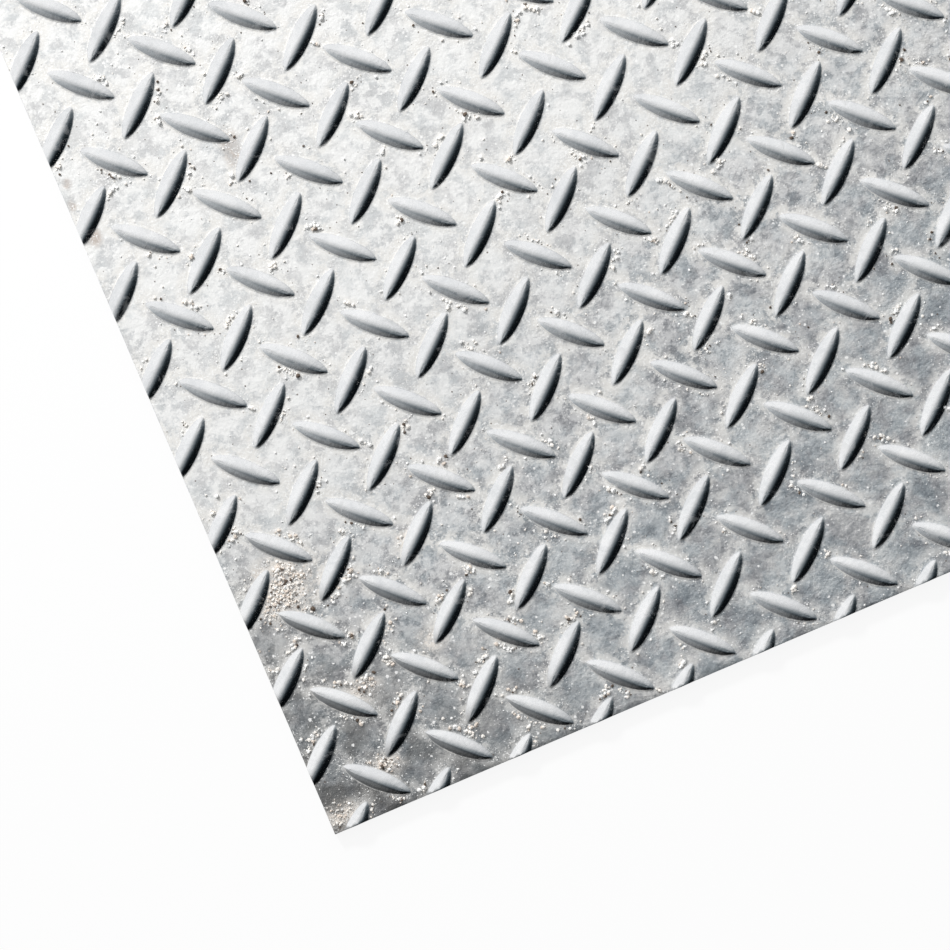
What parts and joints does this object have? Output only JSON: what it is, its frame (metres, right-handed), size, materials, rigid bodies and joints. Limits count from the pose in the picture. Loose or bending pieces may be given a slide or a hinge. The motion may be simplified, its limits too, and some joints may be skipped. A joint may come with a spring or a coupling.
{
  "type": "checker steel plate",
  "caption": "Square sheet of hot-rolled steel floor plate, flat underneath, with a tread side of raised lens-shaped lugs that lean alternately left and right.",
  "frame": {"origin": "centre of the flat underside", "axes": "+Z out of the tread side, X along the rolling direction, Y across it"},
  "size_m": [0.5, 0.5, 0.007],
  "materials": {
    "steel": "weathered zinc-grey mill finish"
  },
  "bodies": {
    "root": {"checker_plate": "steel"}
  },
  "joints": []
}
